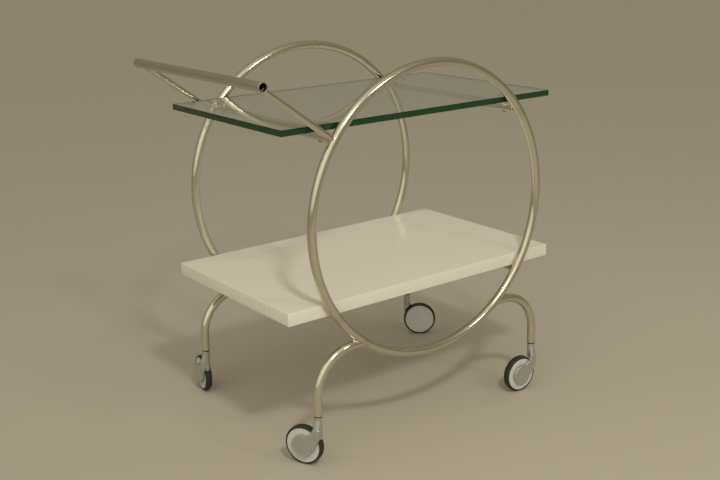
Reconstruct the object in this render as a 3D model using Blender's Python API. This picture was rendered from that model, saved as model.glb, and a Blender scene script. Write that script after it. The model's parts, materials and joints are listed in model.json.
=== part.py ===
"""Bar cart on wheels: two tubular hoops joined by four cross rails, a glass shelf above, a board
shelf below, a push handle, and four bent legs that end in swivel casters with one-sided forks.

Own frame: +Z up, floor at Z = 0, the long side along X with the handle at -X, the width along Y.
The design is laid out about the vertical axis through the hoops' centres, and the whole cart then
hangs from one empty that puts the middle of its bounding box over the world origin.
Corners are named as the person who pushes the cart by its handle meets them: rear is the handle's
end, and left and right are that person's own.
"""
import math

import bmesh
import bpy
from mathutils import Matrix, Vector

# Clearance that touching pieces keep.
GAP = 0.0003

# Hoops: two upright rings of round tube.
HOOP_OUTER_DIAMETER = 0.600
TUBE_RADIUS = 0.009
HOOP_RADIUS = HOOP_OUTER_DIAMETER / 2 - TUBE_RADIUS
HOOP_CENTRE_Z = 0.462
HOOP_Y = 0.215
HOOP_STEPS = 60
TUBE_SIDES = 12

# Cross rails: thin tubes that join the hoops, two above and two below the hoop centre.
RAIL_RADIUS = 0.006
RAIL_OFFSET_Z = 0.171
RAIL_X = math.sqrt(HOOP_RADIUS ** 2 - RAIL_OFFSET_Z ** 2)

# Handle: an open-ended bar on two arms that leave the hoops radially, at the upper rear rail.
HANDLE_REACH = 0.195
HANDLE_LENGTH = 0.468
HANDLE_WALL = 0.0012

# Legs: straight out of the hoop, a quarter bend, then straight down to the caster.
LEG_DROP = 0.2325
LEG_X = 0.2905
LEG_BEND_RADIUS = 0.0875
LEG_BEND_STEPS = 7
LEG_FOOT_Z = 0.1072
LEG_BORE_RADIUS = 0.0075
LEG_BORE_DEPTH = 0.033

# Shelves.
GLASS_SIZE = (0.680, 0.400, 0.012)
GLASS_TOP_OFFSET = 0.2007
BOARD_SIZE = (0.685, 0.410, 0.025)
ARRIS = 0.001

# Pads that are bonded under the glass, and the screws that hold them and the board to the rails.
PAD_Y = 0.172
PAD_RADIUS = 0.016
PAD_FLANGE = 0.003
PAD_ARRIS = 0.0006
PAD_BOSS_RADIUS = 0.005
PAD_BOSS_FLARE = 0.003
PAD_BOSS_OVERLAP = 0.004
PAD_BORE_DEPTH = 0.010
BOARD_SCREW_Y = 0.150
SCREW_RADIUS = 0.0025
SCREW_HOLE_RADIUS = 0.0028
SCREW_HEAD_RADIUS = 0.0048
SCREW_HEAD_HEIGHT = 0.003
SCREW_HEAD_CROWN = 0.0012
SCREW_HEAD_FLAT_RADIUS = 0.0034
SCREW_TIP_RADIUS = 0.0015
SCREW_TIP_LENGTH = 0.001
BOARD_SCREW_BITE = 0.015
SCREW_SIDES = 12

# Casters. Each one is laid out with its stem on the Z axis, its wheel trailing towards +X and its
# one-sided fork on the +Y side.
WHEEL_RADIUS = 0.040
WHEEL_STEPS = 24
TRAIL = 0.032
WHEEL_Y = -0.0015
TYRE_WIDTH = 0.015
TYRE_SHOULDER = 0.002
HUB_WIDTH = 0.014
HUB_RADIUS = 0.0365
HUB_ARRIS = 0.0007
RIM_GROOVE_RADIUS = 0.034
RIM_GROOVE_WIDTH = 0.008
AXLE_RADIUS = 0.003
AXLE_BORE_RADIUS = 0.0033
AXLE_END_COVER = 0.002
ARM_THICKNESS = 0.0058
ARM_INNER_Y = WHEEL_Y + TYRE_WIDTH / 2 + 0.0007
ARM_OUTER_Y = ARM_INNER_Y + ARM_THICKNESS
ARM_ARRIS = 0.0012
COVER_RADIUS = 0.023
COVER_ARC = (212.5, 468.0)
COVER_STEPS = 16
WHEEL_CLEARANCE = 0.003
CLEARANCE_SIDES = 32
NECK_RADIUS = 0.008
NECK_ARRIS = 0.001
NECK_SIDES = 20
NECK_TOP_Z = 0.1046
NECK_FLOOR_Z = 0.058
ARM_ROOT_X = NECK_RADIUS - 0.0004
ARM_ROOT_Z = 0.080
ARM_BEND_Z = 0.066
ARM_FRONT_PULL_Z = 0.057
ARM_REAR_PULL = (ARM_ROOT_X + 0.004, WHEEL_RADIUS + COVER_RADIUS + 0.003)
ARM_REAR_STEPS = 4
ARM_FRONT_STEPS = 5
SHOULDER_TOP_Z = 0.096
SHOULDER_FLOOR_Z = 0.068
SHOULDER_RADIUS = NECK_RADIUS - 0.0002
SHOULDER_NOSE = ((-0.0055, 0.062), (-0.0055, 0.066), (0.0055, 0.066), (0.0055, 0.070))
SHOULDER_NOSE_Y = ARM_OUTER_Y - 0.0008
STEM_RADIUS = 0.004
STEM_ARRIS = 0.0008
STEM_BORE_RADIUS = 0.0043
STEM_FLOOR_Z = 0.0768
STEM_TOP_Z = 0.136
SOCKET_FLANGE = 0.002
SOCKET_RADIUS = 0.0085
SOCKET_SLEEVE_RADIUS = LEG_BORE_RADIUS - GAP
SOCKET_TOP_Z = 0.134
ROUND_SIDES = 16
SWIVELS = {
    "rear_right": 116.4,
    "front_right": 176.9,
    "rear_left": 78.8,
    "front_left": -39.3,
}
ENDS = {"rear": -1, "front": 1}
SIDES = {"right": -1, "left": 1}

SMOOTH_ANGLE = math.radians(35)


# ---------------------------------------------------------------- helpers

def clear_scene():
    """Remove whatever the file opened with."""
    for item in list(bpy.data.objects):
        bpy.data.objects.remove(item)


def finish(name, colour, roughness, metallic=0.0, transmission=0.0):
    """A plain Principled material."""
    material = bpy.data.materials.new(name)
    material.use_nodes = True
    shader = material.node_tree.nodes["Principled BSDF"]
    shader.inputs["Base Color"].default_value = (*colour, 1.0)
    shader.inputs["Roughness"].default_value = roughness
    shader.inputs["Metallic"].default_value = metallic
    shader.inputs["Transmission Weight"].default_value = transmission
    return material


def to_mesh(name, shape):
    """Turn a bmesh into a mesh whose faces point out and whose round sides are smooth."""
    bmesh.ops.remove_doubles(shape, verts=shape.verts, dist=1e-7)
    bmesh.ops.recalc_face_normals(shape, faces=shape.faces)
    mesh = bpy.data.meshes.new(name)
    shape.to_mesh(mesh)
    shape.free()
    mesh.shade_smooth()
    mesh.set_sharp_from_angle(angle=SMOOTH_ANGLE)
    return mesh


def add_object(name, mesh, material=None, parent=None, location=(0, 0, 0), turn_z=0.0):
    """Place a mesh, or an empty where mesh is None."""
    item = bpy.data.objects.new(name, mesh)
    bpy.context.scene.collection.objects.link(item)
    item.parent = parent
    item.location = location
    item.rotation_euler = (0.0, 0.0, turn_z)
    if material is not None and not mesh.materials:
        mesh.materials.append(material)
    return item


def loft(name, rings, closed=False):
    """Skin a row of equal rings of points, closed on itself or capped at both ends."""
    shape = bmesh.new()
    loops = [[shape.verts.new(point) for point in row] for row in rings]
    sides = len(rings[0])
    spans = list(zip(loops, loops[1:]))
    if closed:
        spans.append((loops[-1], loops[0]))
    else:
        shape.faces.new(loops[0])
        shape.faces.new(loops[-1])
    for first, second in spans:
        for i in range(sides):
            j = (i + 1) % sides
            shape.faces.new((first[i], first[j], second[j], second[i]))
    return to_mesh(name, shape)


def ring(centre, across, up, radius, sides=TUBE_SIDES, turn=0.5):
    """Points of a circle about centre, in the plane of two unit vectors.

    turn is the first point's place past across, as a share of one side: 0 puts a corner there,
    and 0.5 the middle of a flat.
    """
    points = []
    for i in range(sides):
        angle = 2 * math.pi * (i + turn) / sides
        points.append(centre + radius * (math.cos(angle) * across + math.sin(angle) * up))
    return points


def turned(name, profile, sides, axis="Z", flats_out=False, turn=0.5):
    """Turn a profile of (radius, height) points about an axis; a zero radius is a pole.

    A profile that ends on the axis at both ends is solid; any other is closed on itself. With
    flats_out the sides' flats, not their edges, lie at the profile's radii.
    """
    stretch = 1 / math.cos(math.pi / sides) if flats_out else 1.0
    shape = bmesh.new()
    rows = []
    for radius, height in profile:
        if radius == 0:
            rows.append([shape.verts.new((0, 0, height))] * sides)
            continue
        circle = ring(Vector((0, 0, height)), Vector((1, 0, 0)), Vector((0, 1, 0)),
                      radius * stretch, sides, turn)
        rows.append([shape.verts.new(point) for point in circle])
    spans = list(zip(rows, rows[1:]))
    if profile[0][0] > 0:
        spans.append((rows[-1], rows[0]))
    for first, second in spans:
        for i in range(sides):
            j = (i + 1) % sides
            corners = list(dict.fromkeys((first[i], first[j], second[j], second[i])))
            if len(corners) > 2:
                shape.faces.new(corners)
    if axis == "Y":
        bmesh.ops.transform(shape, matrix=Matrix.Rotation(-math.pi / 2, 4, "X"), verts=shape.verts)
    return to_mesh(name, shape)


def rod(name, radius, low, high, sides=ROUND_SIDES, axis="Z", turn=0.5):
    """A plain solid cylinder along an axis."""
    profile = [(0, low), (radius, low), (radius, high), (0, high)]
    return turned(name, profile, sides, axis, turn=turn)


def slab(name, size):
    """A box centred on the origin, with its arrises taken off."""
    shape = bmesh.new()
    bmesh.ops.create_cube(shape, size=1.0, matrix=Matrix.Diagonal((*size, 1.0)))
    bmesh.ops.bevel(shape, geom=shape.edges[:], offset=ARRIS, segments=1, affect="EDGES")
    return to_mesh(name, shape)


def combined(name, base, steps):
    """Apply Booleans to a mesh: steps holds (operation, mesh, location) rows."""
    body = add_object(name, base)
    tools = []
    for operation, tool_mesh, location in steps:
        tool = add_object("tool", tool_mesh, location=location)
        tools.append(tool)
        cut = body.modifiers.new(operation, "BOOLEAN")
        cut.operation = operation
        cut.solver = "EXACT"
        cut.object = tool
    bpy.context.view_layer.update()
    graph = bpy.context.evaluated_depsgraph_get()
    shape = bmesh.new()
    shape.from_mesh(body.evaluated_get(graph).to_mesh())
    for item in (body, *tools):
        bpy.data.objects.remove(item)
    bmesh.ops.dissolve_limit(shape, angle_limit=math.radians(0.5), verts=shape.verts,
                             edges=shape.edges)
    bmesh.ops.triangulate(shape, faces=[face for face in shape.faces if len(face.verts) > 4])
    return to_mesh(name, shape)


def bezier(start, pull, end, steps):
    """Points of a quadratic Bezier curve after its start, up to and with its end."""
    points = []
    for i in range(1, steps + 1):
        t = i / steps
        a, b, c = (1 - t) ** 2, 2 * t * (1 - t), t ** 2
        points.append((a * start[0] + b * pull[0] + c * end[0],
                       a * start[1] + b * pull[1] + c * end[1]))
    return points


# ---------------------------------------------------------------- frame

def hoop_mesh(name, radius):
    """A ring of round tube in the XZ plane about the origin."""
    rings = []
    for i in range(HOOP_STEPS):
        angle = 2 * math.pi * i / HOOP_STEPS
        outward = Vector((math.cos(angle), 0, math.sin(angle)))
        rings.append(ring(HOOP_RADIUS * outward, outward, Vector((0, 1, 0)), radius, turn=0))
    return loft(name, rings, closed=True)


def rail_mesh(name, end, level, screw_y):
    """A cross rail along Y about its own axis, coped to both hoops and drilled for two screws.

    end and level are -1 or 1 and say where the rail stands about the hoops' centre.
    """
    plain = rod(name, RAIL_RADIUS, -HOOP_Y, HOOP_Y, TUBE_SIDES, "Y")
    drill = rod("drill", SCREW_HOLE_RADIUS, -2 * RAIL_RADIUS, 2 * RAIL_RADIUS, SCREW_SIDES)
    cope = hoop_mesh("cope", TUBE_RADIUS + GAP)
    steps = []
    for side in SIDES.values():
        steps.append(("DIFFERENCE", drill, (0, side * screw_y, 0)))
        hoop_place = (-end * RAIL_X, side * HOOP_Y, -level * RAIL_OFFSET_Z)
        steps.append(("DIFFERENCE", cope, hoop_place))
    return combined(name, plain, steps)


def handle_direction():
    """Unit vector from the hoop's centre to the handle, in the XZ plane."""
    return Vector((-RAIL_X, 0, RAIL_OFFSET_Z)).normalized()


def handle_arm_mesh(name):
    """An arm from hoop tube to handle bar, coped at both ends, about the hoop's centre."""
    outward = handle_direction()
    across = outward.cross(Vector((0, 1, 0)))
    ends = [HOOP_RADIUS * outward, (HOOP_RADIUS + HANDLE_REACH) * outward]
    plain = loft(name, [ring(end, across, Vector((0, 1, 0)), RAIL_RADIUS) for end in ends])
    bar = rod("cope_bar", TUBE_RADIUS + GAP, -2 * TUBE_RADIUS, 2 * TUBE_RADIUS, ROUND_SIDES, "Y",
              turn=0)
    return combined(name, plain, [
        ("DIFFERENCE", hoop_mesh("cope_hoop", TUBE_RADIUS + GAP), (0, 0, 0)),
        ("DIFFERENCE", bar, ends[1]),
    ])


def handle_bar_mesh(name):
    """A tube along Y with both ends open."""
    half = HANDLE_LENGTH / 2
    inner = TUBE_RADIUS - HANDLE_WALL
    profile = [(TUBE_RADIUS, -half), (TUBE_RADIUS, half), (inner, half), (inner, -half)]
    return turned(name, profile, ROUND_SIDES, "Y", turn=0)


def leg_mesh(name, end):
    """A leg about the hoop's centre, from the hoop's tube to the foot, with the socket's bore."""
    along = Vector((end, 0, 0))
    up = Vector((0, 0, 1))
    depth = Vector((0, 1, 0))
    start_x = math.sqrt(HOOP_RADIUS ** 2 - LEG_DROP ** 2)
    bend_x = LEG_X - LEG_BEND_RADIUS
    foot = LEG_FOOT_Z - HOOP_CENTRE_Z
    rings = [ring(start_x * along - LEG_DROP * up, up, depth, TUBE_RADIUS)]
    for i in range(LEG_BEND_STEPS + 1):
        angle = math.pi / 2 * (1 - i / LEG_BEND_STEPS)
        outward = math.cos(angle) * along + math.sin(angle) * up
        centre = bend_x * along - (LEG_DROP + LEG_BEND_RADIUS) * up + LEG_BEND_RADIUS * outward
        rings.append(ring(centre, outward, depth, TUBE_RADIUS))
    for height, radius in ((foot, TUBE_RADIUS), (foot, LEG_BORE_RADIUS),
                           (foot + LEG_BORE_DEPTH, LEG_BORE_RADIUS)):
        rings.append(ring(LEG_X * along + height * up, along, depth, radius))
    plain = loft(name, rings)
    return combined(name, plain,
                    [("DIFFERENCE", hoop_mesh("cope", TUBE_RADIUS + GAP), (0, 0, 0))])


def build_frame(root):
    steel = finish("polished_nickel", (0.62, 0.58, 0.48), 0.18, 1.0)
    centre = (0, 0, HOOP_CENTRE_Z)
    hoop = hoop_mesh("hoop", TUBE_RADIUS)
    for side_name, side in SIDES.items():
        place = (0, side * HOOP_Y, HOOP_CENTRE_Z)
        add_object(f"hoop_{side_name}", hoop, steel, root, place)
        add_object(f"handle_arm_{side_name}", handle_arm_mesh(f"handle_arm_{side_name}"), steel,
                   root, place)
        for end_name, end in ENDS.items():
            name = f"leg_{end_name}_{side_name}"
            add_object(name, leg_mesh(name, end), steel, root, place)
    for level_name, level, screw_y in (("upper", 1, PAD_Y), ("lower", -1, BOARD_SCREW_Y)):
        for end_name, end in ENDS.items():
            name = f"{level_name}_rail_{end_name}"
            place = (end * RAIL_X, 0, HOOP_CENTRE_Z + level * RAIL_OFFSET_Z)
            add_object(name, rail_mesh(name, end, level, screw_y), steel, root, place)
    bar_place = Vector(centre) + (HOOP_RADIUS + HANDLE_REACH) * handle_direction()
    add_object("handle_bar", handle_bar_mesh("handle_bar"),
               finish("satin_nickel", (0.55, 0.50, 0.40), 0.35, 1.0), root, bar_place)


# ---------------------------------------------------------------- shelves

def screw_mesh(name, head_top, tip):
    """A pan-head screw that points up: the head hangs below head_top, the shank ends at tip."""
    low = head_top - SCREW_HEAD_HEIGHT
    profile = [(0, low), (SCREW_HEAD_FLAT_RADIUS, low), (SCREW_HEAD_RADIUS, low + SCREW_HEAD_CROWN),
               (SCREW_HEAD_RADIUS, head_top), (SCREW_RADIUS, head_top),
               (SCREW_RADIUS, tip - SCREW_TIP_LENGTH), (SCREW_TIP_RADIUS, tip), (0, tip)]
    return turned(name, profile, SCREW_SIDES)


def pad_mesh(name, top):
    """A round pad with a boss that saddles the rail, about the rail's axis; top is its face."""
    under = top - PAD_FLANGE
    bore_top = RAIL_RADIUS + PAD_BORE_DEPTH
    foot = RAIL_RADIUS - PAD_BOSS_OVERLAP
    profile = [(0, top), (PAD_RADIUS - PAD_ARRIS, top), (PAD_RADIUS, top - PAD_ARRIS),
               (PAD_RADIUS, under), (PAD_BOSS_RADIUS + PAD_BOSS_FLARE, under),
               (PAD_BOSS_RADIUS, under - PAD_BOSS_FLARE), (PAD_BOSS_RADIUS, foot),
               (SCREW_HOLE_RADIUS, foot), (SCREW_HOLE_RADIUS, bore_top), (0, bore_top)]
    plain = turned(name, profile, ROUND_SIDES)
    saddle = rod("saddle", RAIL_RADIUS + GAP, -2 * PAD_RADIUS, 2 * PAD_RADIUS, TUBE_SIDES, "Y")
    return combined(name, plain, [("DIFFERENCE", saddle, (0, 0, 0))])


def build_glass_shelf(root):
    glass_top = HOOP_CENTRE_Z + GLASS_TOP_OFFSET
    glass_z = glass_top - GLASS_SIZE[2] / 2
    rail_z = HOOP_CENTRE_Z + RAIL_OFFSET_Z
    add_object("glass_shelf", slab("glass_shelf", GLASS_SIZE),
               finish("clear_glass", (0.55, 0.72, 0.60), 0.02, 0.0, 0.9), root, (0, 0, glass_z))
    pad_top = glass_top - GLASS_SIZE[2] - GAP - rail_z
    pad = pad_mesh("glass_pad", pad_top)
    screw = screw_mesh("pad_screw", -RAIL_RADIUS - GAP,
                       RAIL_RADIUS + PAD_BORE_DEPTH - SCREW_TIP_LENGTH)
    polished = finish("pad_steel", (0.60, 0.57, 0.50), 0.2, 1.0)
    zinc = finish("screw_steel", (0.50, 0.48, 0.42), 0.3, 1.0)
    for end_name, end in ENDS.items():
        for side_name, side in SIDES.items():
            place = (end * RAIL_X, side * PAD_Y, rail_z)
            add_object(f"glass_pad_{end_name}_{side_name}", pad, polished, root, place)
            add_object(f"pad_screw_{end_name}_{side_name}", screw, zinc, root, place)


def build_board_shelf(root):
    rail_z = HOOP_CENTRE_Z - RAIL_OFFSET_Z
    thickness = BOARD_SIZE[2]
    board_z = rail_z + RAIL_RADIUS + GAP + thickness / 2
    pilot_top = BOARD_SCREW_BITE + SCREW_TIP_LENGTH - thickness / 2
    pilot = rod("pilot", SCREW_HOLE_RADIUS, -thickness, pilot_top, SCREW_SIDES)
    steps = [("DIFFERENCE", pilot, (end * RAIL_X, side * BOARD_SCREW_Y, 0))
             for end in ENDS.values() for side in SIDES.values()]
    board = combined("lower_shelf", slab("lower_shelf", BOARD_SIZE), steps)
    add_object("lower_shelf", board, finish("cream_laminate", (0.62, 0.58, 0.45), 0.4), root,
               (0, 0, board_z))
    screw = screw_mesh("shelf_screw", -RAIL_RADIUS - GAP, RAIL_RADIUS + GAP + BOARD_SCREW_BITE)
    zinc = finish("shelf_screw_steel", (0.50, 0.48, 0.42), 0.3, 1.0)
    for end_name, end in ENDS.items():
        for side_name, side in SIDES.items():
            place = (end * RAIL_X, side * BOARD_SCREW_Y, rail_z)
            add_object(f"shelf_screw_{end_name}_{side_name}", screw, zinc, root, place)


# ---------------------------------------------------------------- casters

def arm_outline():
    """The fork arm seen along the wheel's axis, as (x, z): a round cover swept up to the neck."""
    arc_start, arc_end = (math.radians(angle) for angle in COVER_ARC)
    points = []
    for i in range(COVER_STEPS + 1):
        angle = arc_start + (arc_end - arc_start) * i / COVER_STEPS
        points.append((TRAIL + COVER_RADIUS * math.cos(angle),
                       WHEEL_RADIUS + COVER_RADIUS * math.sin(angle)))
    points += bezier(points[-1], ARM_REAR_PULL, (ARM_ROOT_X, ARM_ROOT_Z), ARM_REAR_STEPS)
    front_bend = (-ARM_ROOT_X, ARM_BEND_Z)
    points += [(-ARM_ROOT_X, ARM_ROOT_Z), front_bend]
    points += bezier(front_bend, (-ARM_ROOT_X, ARM_FRONT_PULL_Z), points[0], ARM_FRONT_STEPS)[:-1]
    return points


def arm_mesh(name):
    """The flat arm from its inner to its outer face, with the outer arris taken off."""
    outline = [Vector((x, 0, z)) for x, z in arm_outline()]
    middle = sum(outline, Vector()) / len(outline)
    rows = []
    for y, inset in ((ARM_INNER_Y, 0.0), (ARM_OUTER_Y - ARM_ARRIS, 0.0), (ARM_OUTER_Y, ARM_ARRIS)):
        offset = Vector((0, y, 0))
        rows.append([point + inset * (middle - point).normalized() + offset for point in outline])
    return loft(name, rows)


def shoulder_mesh(name):
    """The wedge that carries the neck's round section out to the arm."""
    shape = bmesh.new()
    axes = (Vector((1, 0, 0)), Vector((0, 1, 0)))
    for z in (SHOULDER_TOP_Z, SHOULDER_FLOOR_Z):
        for point in ring(Vector((0, 0, z)), *axes, SHOULDER_RADIUS, NECK_SIDES):
            shape.verts.new(point)
    for x, z in SHOULDER_NOSE:
        shape.verts.new((x, SHOULDER_NOSE_Y, z))
    hull = bmesh.ops.convex_hull(shape, input=shape.verts)
    loose = [item for item in hull["geom_interior"] if isinstance(item, bmesh.types.BMVert)]
    bmesh.ops.delete(shape, geom=loose, context="VERTS")
    return to_mesh(name, shape)


def fork_mesh():
    """Neck, shoulder and arm in one casting, cut back from the wheel, bored for stem and axle."""
    neck_profile = [(0, NECK_FLOOR_Z), (NECK_RADIUS, NECK_FLOOR_Z),
                    (NECK_RADIUS, NECK_TOP_Z - NECK_ARRIS), (NECK_RADIUS - NECK_ARRIS, NECK_TOP_Z),
                    (STEM_BORE_RADIUS, NECK_TOP_Z), (STEM_BORE_RADIUS, STEM_FLOOR_Z - GAP),
                    (0, STEM_FLOOR_Z - GAP)]
    neck = turned("caster_fork", neck_profile, NECK_SIDES)
    clearance = rod("clearance", WHEEL_RADIUS + WHEEL_CLEARANCE, ARM_INNER_Y - 2 * TYRE_WIDTH,
                    ARM_INNER_Y, CLEARANCE_SIDES, "Y")
    stem_bore = rod("stem_bore", STEM_BORE_RADIUS, STEM_FLOOR_Z - GAP, LEG_FOOT_Z, ROUND_SIDES)
    axle_bore = rod("axle_bore", AXLE_BORE_RADIUS, WHEEL_Y, ARM_OUTER_Y - AXLE_END_COVER,
                    ROUND_SIDES, "Y")
    wheel_place = (TRAIL, 0, WHEEL_RADIUS)
    return combined("caster_fork", neck, [
        ("UNION", arm_mesh("arm"), (0, 0, 0)),
        ("UNION", shoulder_mesh("shoulder"), (0, 0, 0)),
        ("DIFFERENCE", clearance, wheel_place),
        ("DIFFERENCE", stem_bore, (0, 0, 0)),
        ("DIFFERENCE", axle_bore, wheel_place),
    ])


def hub_mesh():
    """The wheel's disc about the wheel's centre: a groove holds the tyre, a blind bore the axle."""
    half = HUB_WIDTH / 2
    groove = RIM_GROOVE_WIDTH / 2
    face_radius = HUB_RADIUS - HUB_ARRIS
    profile = [(0, -half), (face_radius, -half), (HUB_RADIUS, -half + HUB_ARRIS),
               (HUB_RADIUS, -groove), (RIM_GROOVE_RADIUS, -groove), (RIM_GROOVE_RADIUS, groove),
               (HUB_RADIUS, groove), (HUB_RADIUS, half - HUB_ARRIS), (face_radius, half),
               (AXLE_BORE_RADIUS, half), (AXLE_BORE_RADIUS, AXLE_END_COVER - half),
               (0, AXLE_END_COVER - half)]
    return turned("wheel_hub", profile, WHEEL_STEPS, "Y", flats_out=True)


def tyre_mesh():
    """The tyre about the wheel's centre: a flat tread with soft shoulders, and a rib inside."""
    half = TYRE_WIDTH / 2
    rib = RIM_GROOVE_WIDTH / 2 - GAP
    inner = HUB_RADIUS + GAP
    root = RIM_GROOVE_RADIUS + GAP
    profile = [(inner, -half), (WHEEL_RADIUS - TYRE_SHOULDER, -half),
               (WHEEL_RADIUS, -half + TYRE_SHOULDER), (WHEEL_RADIUS, half - TYRE_SHOULDER),
               (WHEEL_RADIUS - TYRE_SHOULDER, half), (inner, half), (inner, rib), (root, rib),
               (root, -rib), (inner, -rib)]
    return turned("tyre", profile, WHEEL_STEPS, "Y", flats_out=True)


def axle_mesh():
    """The axle about the wheel's centre, from inside the fork's cover into the blind hub."""
    low = AXLE_END_COVER - HUB_WIDTH / 2 + GAP
    high = ARM_OUTER_Y - AXLE_END_COVER - GAP - WHEEL_Y
    return rod("wheel_axle", AXLE_RADIUS, low, high, ROUND_SIDES, "Y")


def socket_mesh():
    """The plastic socket in the leg's end: a flange under the tube and a sleeve inside it."""
    flange_top = LEG_FOOT_Z - GAP
    low = flange_top - SOCKET_FLANGE
    bore = STEM_BORE_RADIUS
    profile = [(SOCKET_RADIUS, low), (SOCKET_RADIUS, flange_top),
               (SOCKET_SLEEVE_RADIUS, flange_top), (SOCKET_SLEEVE_RADIUS, SOCKET_TOP_Z),
               (bore, SOCKET_TOP_Z), (bore, low)]
    return turned("caster_socket", profile, ROUND_SIDES)


def stem_mesh():
    """The steel stem, pressed in the socket above and turning in the fork's bore below."""
    end_radius = STEM_RADIUS - STEM_ARRIS
    profile = [(0, STEM_FLOOR_Z), (end_radius, STEM_FLOOR_Z),
               (STEM_RADIUS, STEM_FLOOR_Z + STEM_ARRIS), (STEM_RADIUS, STEM_TOP_Z - STEM_ARRIS),
               (end_radius, STEM_TOP_Z), (0, STEM_TOP_Z)]
    return turned("caster_stem", profile, ROUND_SIDES)


def build_casters(root):
    zinc = finish("fork_zinc", (0.32, 0.31, 0.28), 0.35, 0.8)
    steel = finish("pin_steel", (0.55, 0.54, 0.50), 0.25, 1.0)
    black = finish("socket_plastic", (0.015, 0.014, 0.012), 0.5)
    white = finish("hub_plastic", (0.62, 0.61, 0.56), 0.4)
    rubber = finish("tyre_rubber", (0.022, 0.021, 0.018), 0.75)
    fixed = (("caster_socket", socket_mesh(), black), ("caster_stem", stem_mesh(), steel))
    fork = fork_mesh()
    rolling = (("wheel_hub", hub_mesh(), white), ("tyre", tyre_mesh(), rubber))
    axle = axle_mesh()
    wheel_place = (TRAIL, WHEEL_Y, WHEEL_RADIUS)
    for end_name, end in ENDS.items():
        for side_name, side in SIDES.items():
            corner = f"{end_name}_{side_name}"
            stem_place = (end * LEG_X, side * HOOP_Y, 0)
            swivel = add_object(f"swivel_axis_{corner}", None, None, root, stem_place,
                                math.radians(SWIVELS[corner]))
            roll = add_object(f"roll_axis_{corner}", None, None, swivel, wheel_place)
            for piece, mesh, material in fixed:
                add_object(f"{piece}_{corner}", mesh, material, root, stem_place)
            add_object(f"caster_fork_{corner}", fork, zinc, swivel)
            add_object(f"wheel_axle_{corner}", axle, steel, swivel, wheel_place)
            for piece, mesh, material in rolling:
                add_object(f"{piece}_{corner}", mesh, material, roll)


def centre_over_origin(root):
    """Move the cart so that the middle of its bounding box stands over the world origin."""
    bpy.context.view_layer.update()
    points = [item.matrix_world @ vertex.co
              for item in bpy.data.objects if item.type == "MESH" for vertex in item.data.vertices]
    for axis in (0, 1):
        values = [point[axis] for point in points]
        root.location[axis] = -(min(values) + max(values)) / 2


def main():
    clear_scene()
    root = add_object("cart", None)
    build_frame(root)
    build_glass_shelf(root)
    build_board_shelf(root)
    build_casters(root)
    centre_over_origin(root)


main()
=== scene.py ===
"""Looks of a bar cart on wheels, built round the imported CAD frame.

Two upright hoops of polished nickel-plated tube stand on four bent legs with swivel casters. Cross
rails between the hoops carry a thick glass plate above and a cream board below, and a push bar stands
off the hoops on two arms. Places and sizes come from the CAD nodes' boxes and joints; what a box
can't tell, such as a wall or an arris, is a named length below. All lengths are metres, +Z up.
"""
import json
import math

import bmesh
import bpy
import numpy as np
from mathutils import Matrix, Vector

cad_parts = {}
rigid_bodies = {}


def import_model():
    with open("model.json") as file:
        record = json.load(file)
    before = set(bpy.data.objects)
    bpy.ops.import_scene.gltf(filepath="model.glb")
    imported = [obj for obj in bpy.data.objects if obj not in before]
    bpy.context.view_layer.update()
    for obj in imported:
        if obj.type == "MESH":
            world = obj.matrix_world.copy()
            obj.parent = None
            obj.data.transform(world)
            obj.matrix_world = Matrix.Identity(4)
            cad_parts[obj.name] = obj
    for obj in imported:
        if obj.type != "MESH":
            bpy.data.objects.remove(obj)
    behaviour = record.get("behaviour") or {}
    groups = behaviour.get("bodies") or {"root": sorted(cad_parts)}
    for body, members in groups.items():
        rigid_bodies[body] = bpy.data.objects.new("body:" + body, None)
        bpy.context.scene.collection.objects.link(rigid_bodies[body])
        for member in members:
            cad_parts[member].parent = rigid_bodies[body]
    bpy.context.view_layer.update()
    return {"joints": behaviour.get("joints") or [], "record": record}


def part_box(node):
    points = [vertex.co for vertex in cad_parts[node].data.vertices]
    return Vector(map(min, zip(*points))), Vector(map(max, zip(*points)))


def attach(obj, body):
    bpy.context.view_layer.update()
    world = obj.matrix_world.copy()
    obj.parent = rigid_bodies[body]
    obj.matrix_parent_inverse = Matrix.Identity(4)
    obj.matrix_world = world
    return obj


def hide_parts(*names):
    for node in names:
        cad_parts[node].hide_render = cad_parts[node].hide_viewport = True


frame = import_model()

X, Y, Z = np.eye(3)
ENDS = {"rear": -1, "front": 1}
SIDES = ("right", "left")
CORNERS = [f"{end}_{side}" for end in ENDS for side in SIDES]
RECORD = frame["record"]
BODY_OF = {node: body for body, nodes in RECORD["behaviour"]["bodies"].items() for node in nodes}
JOINTS = {joint["name"]: joint for joint in frame["joints"]}

# Tubes. A flat of the CAD's 12-sided tubes lies CAD_FLAT of the radius from the centre line. A weld is
# a fillet that runs WELD_SINK deep into its host, and hazes the metal for WELD_HAZE round it. A profile
# that closes on itself ends a short way before its start, on the same face.
RAIL_RADIUS = 0.006
TUBE_SIDES = 48
HOOP_STEPS = 320
STRAIGHT_STEPS = 60
LEG_STEPS = 72
WELD_RADIUS = 0.0022
WELD_STEPS = 7
WELD_TRIES = 900
WELD_SINK = 0.0016
WELD_HAZE = 0.007
CAD_FLAT = math.cos(math.pi / 12)
LEG_BEND_RADIUS = 0.0875
NO_BEND = 9.0
FOOT_WALL = 0.0015
BAR_WALL = 0.0012
BAR_RIM = 0.45 * BAR_WALL
BAR_CLOSING = 0.001

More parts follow.
